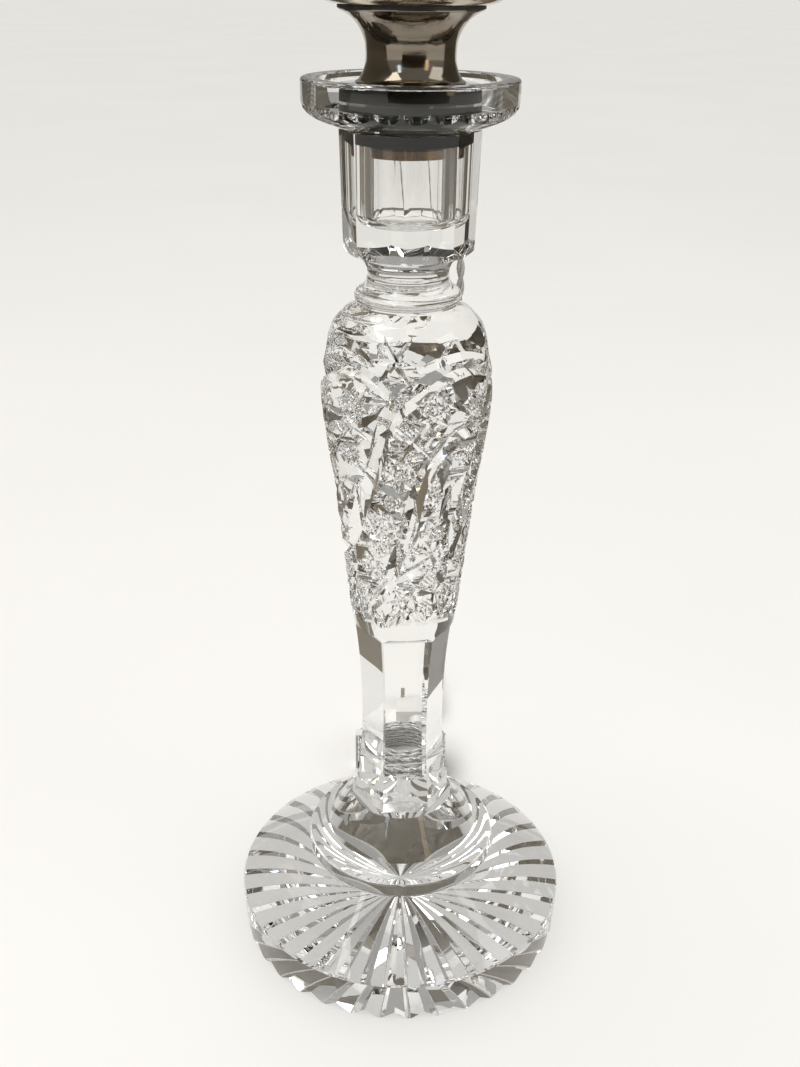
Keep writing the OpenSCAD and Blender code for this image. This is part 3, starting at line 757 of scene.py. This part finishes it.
class CANDLE_OT_cord(Operator):
    """Cord from the neck to its stored coil, the tie and the plug"""
    bl_idname = "candle.cord"
    bl_label = "Cord"

    def execute(self, context):
        cord = settings("cord")
        path = cord_path(cord.diameter / MM)
        obj = twisted_pair("flex", path, cord.diameter / MM)
        paint(obj, clear_sheath_finish(cord))
        tie = NODES["coil_tie"]
        paint(tie, finish_of("tie_sheath", (0.78, 0.78, 0.76), (0.7, 0.7, 0.68), 300, (0.35, 0.5), relief=0.1))
        moulding = finish_of("plug_moulding", (0.82, 0.81, 0.78), (0.76, 0.75, 0.72), 80, (0.32, 0.45), relief=0.05)
        paint(NODES["plug_body"], moulding)
        paint(NODES["plug_blades"], finish_of("blade_metal", (0.72, 0.66, 0.5), (0.6, 0.54, 0.4), 200, (0.2, 0.35),
                                              1.0, relief=0.05))
        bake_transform(obj)
        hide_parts("cord", "cord_coil", "cord_tail")
        return {"FINISHED"}


class CANDLE_OT_stage(Operator):
    """Pale floor, soft lights, cards that the glass mirrors, and the camera"""
    bl_idname = "candle.stage"
    bl_label = "Stage"

    def execute(self, context):
        stage = settings("stage")
        scene = context.scene
        deselect()
        bpy.ops.mesh.primitive_plane_add(size=60, location=(0, 0, 0))
        floor = context.object
        floor.name = "floor"
        material, shader = new_material("pale_floor")
        tree = material.node_tree
        tone = blend_colour(tree, noise(tree, 3, 3.0), stage.floor, tuple(0.985 * c for c in stage.floor))
        tree.links.new(tone, shader.inputs["Base Color"])
        shader.inputs["Roughness"].default_value = 0.9
        shader.inputs["Specular IOR Level"].default_value = 0.1
        paint(floor, material)
        for name, place, faces, size, colour, strength in CARDS:
            card(name, place, faces, size, colour, strength)
        for name, place, size, share, colour in LIGHTS:
            light = bpy.data.lights.new(name, "AREA")
            light.shape, light.size, light.size_y = "RECTANGLE", size[0], size[1]
            light.energy = stage.power * share
            light.color = colour
            lamp = bpy.data.objects.new(name, light)
            scene.collection.objects.link(lamp)
            lamp.location = place
            lamp.rotation_euler = (Vector((0, 0, 0.15)) - Vector(place)).to_track_quat("-Z", "Y").to_euler()
        sun = bpy.data.lights.new("sky", "SUN")
        sun.energy, sun.angle = stage.sky, math.radians(50)
        high = bpy.data.objects.new("sky", sun)
        scene.collection.objects.link(high)
        high.rotation_euler = (math.radians(-14), math.radians(-18), 0)
        world = bpy.data.worlds.new("studio")
        scene.world = world
        world.use_nodes = True
        world.node_tree.nodes["Background"].inputs["Color"].default_value = (0.98, 0.965, 0.93, 1)
        world.node_tree.nodes["Background"].inputs["Strength"].default_value = stage.air
        scene.view_settings.view_transform = "Standard"
        scene.cycles.max_bounces = 32
        scene.cycles.transmission_bounces = 32
        scene.cycles.transparent_max_bounces = 16
        scene.cycles.glossy_bounces = 12
        scene.cycles.caustics_refractive = False
        scene.cycles.caustics_reflective = False
        scene.cycles.blur_glossy = 0.4
        scene.cycles.sample_clamp_indirect = 6
        camera = bpy.data.cameras.new("camera")
        eye = bpy.data.objects.new("camera", camera)
        scene.collection.objects.link(eye)
        scene.camera = eye
        place_camera(eye)
        return {"FINISHED"}


# ---- Stage ----

# Cards that only reflections and refractions see: name, place, place that they face, (width, height), colour,
# strength.
CARDS = [
    ("card_left", (-0.30, 0.08, 0.27), (0, 0, 0.15), (0.62, 0.54), (0.19, 0.17, 0.14), 0.0),
    ("card_right", (0.36, 0.20, 0.27), (0, 0, 0.15), (0.45, 0.54), (0.15, 0.135, 0.11), 0.0),
    ("card_low_left", (-0.37, 0.12, 0.003), (-0.37, 0.12, 1), (0.52, 0.9), (0.045, 0.036, 0.026), 0.0),
    ("card_low_right", (0.42, 0.12, 0.003), (0.42, 0.12, 1), (0.56, 0.9), (0.20, 0.17, 0.13), 0.0),
    ("card_back", (0.02, 0.62, 0.003), (0.02, 0.62, 1), (0.5, 0.30), (0.10, 0.085, 0.065), 0.0),
    ("card_window", (-0.42, -0.75, 0.62), (0, 0, 0.15), (0.12, 0.34), (0.62, 0.78, 1.0), 4.0),
    ("card_warm", (0.44, -0.52, 0.40), (0, 0, 0.15), (0.10, 0.34), (1.0, 0.78, 0.52), 1.2),
    ("card_front", (0.12, -0.80, 0.33), (0, 0, 0.15), (1.0, 0.46), (0.04, 0.033, 0.024), 0.0),
]
# Area lights: name, place, (width, height), share of the main power, colour.
LIGHTS = [
    ("main", (-0.7, -0.5, 1.1), (0.7, 0.5), 1.0, (1.0, 0.98, 0.95)),
    ("fill", (0.9, -0.3, 0.8), (0.6, 0.6), 0.5, (0.96, 0.98, 1.0)),
]


def card(name, place, faces, size, colour, strength):
    """A sheet that neither the camera nor soft light sees."""
    bpy.ops.mesh.primitive_plane_add(size=1)
    obj = bpy.context.object
    obj.name = name
    obj.scale = (size[0], size[1], 1)
    obj.location = place
    obj.rotation_euler = (Vector(faces) - Vector(place)).to_track_quat("Z", "Y").to_euler()
    material, shader = new_material(name)
    shader.inputs["Base Color"].default_value = (*colour, 1)
    shader.inputs["Roughness"].default_value = 0.8
    shader.inputs["Specular IOR Level"].default_value = 0.0
    shader.inputs["Emission Color"].default_value = (*colour, 1)
    shader.inputs["Emission Strength"].default_value = strength
    paint(obj, material)
    obj.visible_camera = False
    obj.visible_shadow = False
    obj.visible_diffuse = False


# The camera: its place in metres, its turns in degrees and its lens in millimetres.
EYE = (0.00013, -0.30006, 0.2783)
PITCH, YAW, ROLL = 25.74, -0.28, 0.64
LENS = 39.91


def place_camera(eye):
    """Stands a little above the flange and looks down at the whole lamp."""
    pitch, yaw, roll = math.radians(PITCH), math.radians(YAW), math.radians(ROLL)
    forward = Vector((math.sin(yaw) * math.cos(pitch), math.cos(yaw) * math.cos(pitch), -math.sin(pitch)))
    right = Vector((math.cos(yaw), -math.sin(yaw), 0))
    up = right.cross(forward)
    side = math.cos(roll) * right + math.sin(roll) * up
    top = -math.sin(roll) * right + math.cos(roll) * up
    eye.matrix_world = Matrix(((side.x, top.x, -forward.x, EYE[0]), (side.y, top.y, -forward.y, EYE[1]),
                               (side.z, top.z, -forward.z, EYE[2]), (0, 0, 0, 1)))
    eye.data.sensor_fit = "AUTO"
    eye.data.sensor_width = 36
    eye.data.lens = LENS
    eye.data.clip_start = 0.01
    eye.data.clip_end = 50


# ---- Shapes of the fitting ----

def ring_of(name, outline, steps):
    """A turned ring: a closed outline of (radius, height) points that stays off the axis."""
    obj = turned(name, outline, steps)
    smooth_by_angle(obj, 35)
    return obj


def neck_outline(wall):
    """Outline of the spun neck: a wall of even thickness with a flat top."""
    low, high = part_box("neck")
    z0, z1, top_r = low.z / MM, high.z / MM, high.x / MM
    outer = [(13.2, z0), (13.35, z0 + 0.25), (13.2, z0 + 0.6), (12.4, z0 + 1.1), (11.6, z0 + 2.4), (11.0, z0 + 4.0),
             (10.75, z0 + 5.6), (10.78, z0 + 7.6), (11.0, z0 + 9.4), (11.7, z0 + 11.3), (12.6, z0 + 12.8),
             (13.8, z0 + 14.2), (15.3, z0 + 15.3), (top_r - 0.2, z1 - 0.35), (top_r, z1)]
    fine = [between(outer, i / 44) for i in range(45)]
    inner = [(r - wall, min(z + wall * 0.3, z1 - wall)) for r, z in fine if r - wall > TUBE_R]
    inner = [p for p in inner if p[1] < z1 - wall] + [(15.2, z1 - wall), (TUBE_R, z1 - wall), (TUBE_R, z1)]
    inner[0] = (inner[0][0], z0)
    return fine[::-1] + inner + [fine[-1]]


def pan_outline(wall):
    """Outline of the spun pan with its rolled rim."""
    low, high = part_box("pan")
    z0, z1, rim = low.z / MM, high.z / MM, high.x / MM
    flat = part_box("neck")[1].x / MM - 0.6
    side = [(flat + (rim - 2.0 - flat) * math.sin(math.radians(9 * i)),
             z0 + (z1 - z0 - 1.2) * (1 - math.cos(math.radians(9 * i)))) for i in range(11)]
    roll = arc(rim - 1.2, z1 - 1.2, 1.2, -100, 190, 14)
    inside = [(r - wall, z + wall * 0.6) for r, z in side[::-1]]
    return [(TUBE_R, z0)] + side + roll + inside + [(TUBE_R, z0 + wall), (TUBE_R, z0)]


# ---- Cord ----

# From the bushing over the back of the flange, down behind the glass and over the foot to the coil.
CORD_ROUTE = [
    (0, 19.2, 257.5), (0.2, 23.5, 257.3), (0.8, 28.3, 254.7), (1.6, 31.2, 249), (2.8, 31.6, 242),
    (5, 31.4, 234), (9, 31, 225), (12.5, 30.6, 215), (14.5, 30.2, 204), (14.5, 30, 192),
    (13.5, 30, 178), (12.5, 30, 160), (12, 30, 140), (11.5, 30, 120), (11, 30.2, 100), (10.5, 31, 80),
    (10, 32.6, 60), (9.6, 35.6, 42), (9.6, 40.5, 28), (10.2, 47, 19.4), (11.6, 53.5, 15.8),
    (13.6, 60.5, 14.2), (15, 66, 13.4), (15.6, 71, 13.2),
]
# From the coil to the plug.
TAIL_ROUTE = [(11, 82.5, 1.2), (8.2, 85.6, 1.3), (6.4, 89, 2.2), (5.3, 93, 3.7), (5, 97, 5)]
# The coil's middle along Y, its turns across and up, and the radius of its outer turn.
COIL_Y = 71.5
COIL_ACROSS, COIL_UP = 3, 6
COIL_OUTER_R = 15.6


def cord_path(width):
    """Centre line of the whole cord: the route, the coil wound from its top outer turn down, and the tail."""
    rows, steps = 230, 48
    path = [between(CORD_ROUTE, i / rows) for i in range(rows)]
    end_angle = math.radians(45)
    total = COIL_ACROSS * COIL_UP
    ease_from = 0.82
    for turn in range(total):
        layer, place = divmod(turn, COIL_ACROSS)
        inwards = layer % 2 == 0
        column = place if inwards else COIL_ACROSS - 1 - place
        last = turn == total - 1
        for i in range(steps):
            share = i / steps
            angle = 2 * math.pi * share
            shift = max(0.0, (share - ease_from) / (1 - ease_from))
            ease = shift * shift * (3 - 2 * shift)
            r = COIL_OUTER_R - width * column
            z = width * (COIL_UP - 0.5 - layer)
            if not last:
                if place == COIL_ACROSS - 1:
                    z -= width * ease
                else:
                    r += (-width if inwards else width) * ease
            path.append((r * math.cos(angle), COIL_Y + r * math.sin(angle), z))
    for i in range(7):
        angle = end_angle * i / 6
        path.append((COIL_OUTER_R * math.cos(angle), COIL_Y + COIL_OUTER_R * math.sin(angle), width / 2))
    path += [between(TAIL_ROUTE, i / 24) for i in range(1, 25)]
    return path


def twisted_pair(name, path, width):
    """Two clear cores twisted together, swept along path as one closed mesh with a UV map along its lay."""
    points, faces, runs = [], [], []
    core_r, core_off = width * 0.27, width * 0.23
    around, full_twist = 16, 11
    across = Vector((1, 0, 0))
    run = 0.0
    line = [Vector(p) for p in path]
    for i, p in enumerate(line):
        along = (line[min(i + 1, len(line) - 1)] - line[max(i - 1, 0)]).normalized()
        across = (across - along * across.dot(along)).normalized()
        up = along.cross(across)
        if i:
            run += (p - line[i - 1]).length
        twist = 2 * math.pi * run / full_twist
        for k in range(around):
            a = 2 * math.pi * k / around
            reach = core_off * abs(math.cos(a)) + math.sqrt(max(0, core_r ** 2 - (core_off * math.sin(a)) ** 2))
            points.append(p + reach * (math.cos(a + twist) * across + math.sin(a + twist) * up))
        runs.append(run)
    for i in range(len(line) - 1):
        for k in range(around):
            m = (k + 1) % around
            faces.append((i * around + k, i * around + m, (i + 1) * around + m, (i + 1) * around + k))
    faces.append(tuple(range(around))[::-1])
    faces.append(tuple((len(line) - 1) * around + k for k in range(around)))
    obj = mesh_object(name, points, faces)
    lay = obj.data.uv_layers.new(name="lay")
    for polygon in obj.data.polygons:
        for loop in polygon.loop_indices:
            vertex = obj.data.loops[loop].vertex_index
            lay.data[loop].uv = (runs[vertex // around] / 10, (vertex % around) / around)
    smooth_by_angle(obj, 60)
    return obj


# ---- Add-on ----

class CANDLE_PT_panel(Panel):
    """Every setting, and a button for each group of pieces"""
    bl_label = "Candlestick"
    bl_idname = "CANDLE_PT_panel"
    bl_space_type = "VIEW_3D"
    bl_region_type = "UI"
    bl_category = "Candlestick"

    def draw(self, context):
        for name in ("glass", "metal", "cord", "stage"):
            box = self.layout.box()
            for prop in getattr(context.scene, name).bl_rna.properties:
                if prop.identifier not in ("rna_type", "name"):
                    box.prop(getattr(context.scene, name), prop.identifier)
        for operator in PIECES:
            self.layout.operator(operator.bl_idname)


PIECES = (CANDLE_OT_stage, CANDLE_OT_cord, CANDLE_OT_cut_glass, CANDLE_OT_bung, CANDLE_OT_fitting,
          CANDLE_OT_lampholder, CANDLE_OT_turn_key)
SETTINGS = {"glass": GlassSettings, "metal": MetalSettings, "cord": CordSettings, "stage": StageSettings}


def register():
    """Add the settings, the operators and the panel."""
    for name, group in SETTINGS.items():
        bpy.utils.register_class(group)
        setattr(bpy.types.Scene, name, PointerProperty(type=group))
    for operator in PIECES + (CANDLE_PT_panel,):
        bpy.utils.register_class(operator)


def unregister():
    """Take the panel, the operators and the settings out again."""
    for operator in reversed(PIECES + (CANDLE_PT_panel,)):
        bpy.utils.unregister_class(operator)
    for name, group in reversed(list(SETTINGS.items())):
        delattr(bpy.types.Scene, name)
        bpy.utils.unregister_class(group)


def main():
    """Build every piece."""
    register()
    for operator in PIECES:
        group, call = operator.bl_idname.split(".")
        getattr(getattr(bpy.ops, group), call)()


if __name__ == "__main__":
    main()
